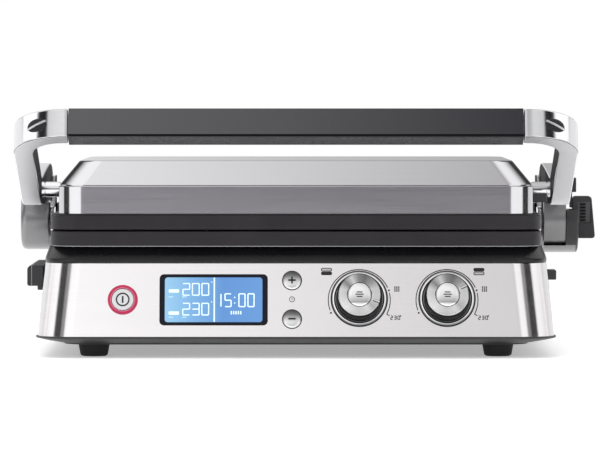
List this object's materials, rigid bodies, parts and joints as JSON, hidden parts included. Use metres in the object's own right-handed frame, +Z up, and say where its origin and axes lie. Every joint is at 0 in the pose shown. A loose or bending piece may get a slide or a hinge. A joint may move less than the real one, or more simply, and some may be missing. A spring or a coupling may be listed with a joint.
{
  "type": "panini press",
  "caption": "Contact grill with a lid that floats level on a hinged loop handle, ribbed plates, side drip tray, display and two dials; opens flat.",
  "frame": {"origin": "on the table, under the middle of the whole object's box", "axes": "+X to the right along the hinge axis, +Y to the back, +Z up; the controls face -Y"},
  "size_m": [0.4684, 0.3458, 0.1903],
  "materials": {
    "brushed_steel": "brushed along its length",
    "satin_metal": "satin",
    "bright_chrome": "polished",
    "zinc_steel": "zinc plated",
    "black_plastic": "fine matt",
    "charcoal_plastic": "fine matt",
    "grip_plastic": "satin",
    "gloss_black": "gloss",
    "foot_rubber": "matt",
    "display_glass": "lit liquid crystal behind clear glass",
    "red_plastic": "gloss",
    "circuit_board": "lacquered board",
    "plate_coating": "dark non-stick coating",
    "heater_metal": "heat-darkened",
    "reflector_sheet": "bright sheet",
    "insulation_fibre": "felted fibre"
  },
  "bodies": {
    "base": {"base_pan": "black_plastic", "steel_band": "brushed_steel", "deck_frame": "charcoal_plastic", "rear_cover": "black_plastic", "rubber_feet": "foot_rubber", "base_screws": "zinc_steel", "lcd_bezel": "gloss_black", "lcd_screen": "display_glass", "power_ring": "red_plastic", "knob_bezels": "bright_chrome", "control_board": "circuit_board", "power_board": "circuit_board", "encoders": "zinc_steel", "lower_plate": "plate_coating", "lower_heater": "heater_metal", "lower_reflector": "reflector_sheet", "plate_clips": "zinc_steel", "hinge_towers": "black_plastic", "hinge_axles": "zinc_steel", "tray_rails": "black_plastic", "cord_gland": "foot_rubber"},
    "tray": {"drip_tray": "plate_coating", "tray_grip": "black_plastic"},
    "hinge_drums": {"drum_left": "satin_metal", "drum_right": "satin_metal", "drum_cap_right": "black_plastic", "torsion_springs": "zinc_steel"},
    "selector": {"height_selector": "black_plastic"},
    "release_tab": {"flat_release_tab": "black_plastic"},
    "handle": {"arm_left": "bright_chrome", "arm_right": "bright_chrome", "handle_grip": "grip_plastic", "grip_core": "zinc_steel", "corner_inserts": "gloss_black", "handle_screws": "zinc_steel", "pivot_pins": "bright_chrome"},
    "lid": {"lid_cover": "brushed_steel", "lid_frame": "black_plastic", "upper_plate": "plate_coating", "upper_heater": "heater_metal", "upper_reflector": "reflector_sheet", "insulation_pad": "insulation_fibre", "pivot_brackets": "zinc_steel", "lid_screws": "zinc_steel"},
    "upper_release": {"upper_release_button": "black_plastic"},
    "lower_release": {"lower_release_button": "black_plastic"},
    "knob_l": {"knob_left": "black_plastic", "knob_cap_left": "satin_metal"},
    "knob_r": {"knob_right": "black_plastic", "knob_cap_right": "satin_metal"},
    "sear_l": {"sear_button_left": "satin_metal"},
    "sear_r": {"sear_button_right": "satin_metal"},
    "timer_plus": {"timer_plus_button": "bright_chrome"},
    "timer_minus": {"timer_minus_button": "bright_chrome"},
    "power": {"power_button": "bright_chrome"}
  },
  "joints": [
    {"name": "lid_opening", "type": "hinge", "parent": "base", "child": "hinge_drums", "pos_m": [-0.01015, 0.14575, 0.098], "axis": [-1, 0, 0], "range_deg": [0, 180]},
    {"name": "handle_float", "type": "hinge", "parent": "hinge_drums", "child": "handle", "pos_m": [-0.01015, 0.14575, 0.098], "axis": [-1, 0, 0], "range_deg": [0, 10]},
    {"name": "lid_level", "type": "hinge", "parent": "handle", "child": "lid", "pos_m": [-0.01015, -0.01931, 0.126], "axis": [-1, 0, 0], "range_deg": [-10, 0]},
    {"name": "selector_turn", "type": "hinge", "parent": "hinge_drums", "child": "selector", "pos_m": [-0.01015, 0.14575, 0.098], "axis": [1, 0, 0], "range_deg": [0, 60]},
    {"name": "flat_release", "type": "hinge", "parent": "hinge_drums", "child": "release_tab", "pos_m": [-0.01015, 0.14575, 0.113], "axis": [1, 0, 0], "range_deg": [0, 15], "stiffness_Nm_per_rad": 0.02, "springref_deg": -11.46},
    {"name": "tray_slide", "type": "slide", "parent": "base", "child": "tray", "axis": [-1, 0, 0], "range_m": [0, 0.25]},
    {"name": "knob_left_turn", "type": "hinge", "parent": "base", "child": "knob_l", "pos_m": [0.03805, -0.13411, 0.04513], "axis": [0, -0.9703, 0.2419], "range_deg": [-6, 227]},
    {"name": "knob_right_turn", "type": "hinge", "parent": "base", "child": "knob_r", "pos_m": [0.10485, -0.13411, 0.04513], "axis": [0, -0.9703, 0.2419], "range_deg": [-53, 180]},
    {"name": "sear_left_press", "type": "slide", "parent": "knob_l", "child": "sear_l", "axis": [0, 0.9703, -0.2419], "range_m": [0, 0.0015], "stiffness_N_per_m": 250, "springref_m": -0.0004},
    {"name": "sear_right_press", "type": "slide", "parent": "knob_r", "child": "sear_r", "axis": [0, 0.9703, -0.2419], "range_m": [0, 0.0015], "stiffness_N_per_m": 250, "springref_m": -0.0004},
    {"name": "timer_plus_press", "type": "slide", "parent": "base", "child": "timer_plus", "axis": [0, 0.9703, -0.2419], "range_m": [0, 0.0015], "stiffness_N_per_m": 250, "springref_m": -0.0004},
    {"name": "timer_minus_press", "type": "slide", "parent": "base", "child": "timer_minus", "axis": [0, 0.9703, -0.2419], "range_m": [0, 0.0015], "stiffness_N_per_m": 250, "springref_m": -0.0004},
    {"name": "power_press", "type": "slide", "parent": "base", "child": "power", "axis": [0, 0.9703, -0.2419], "range_m": [0, 0.0018], "stiffness_N_per_m": 250, "springref_m": -0.0004},
    {"name": "lower_release_press", "type": "slide", "parent": "base", "child": "lower_release", "axis": [-1, 0, 0], "range_m": [0, 0.004], "stiffness_N_per_m": 400, "springref_m": -0.001},
    {"name": "upper_release_press", "type": "slide", "parent": "lid", "child": "upper_release", "axis": [-1, 0, 0], "range_m": [0, 0.003], "stiffness_N_per_m": 400, "springref_m": -0.001}
  ],
  "couplings": [
    {"joint": "lid_level", "follows": "handle_float", "ratio": -1}
  ]
}
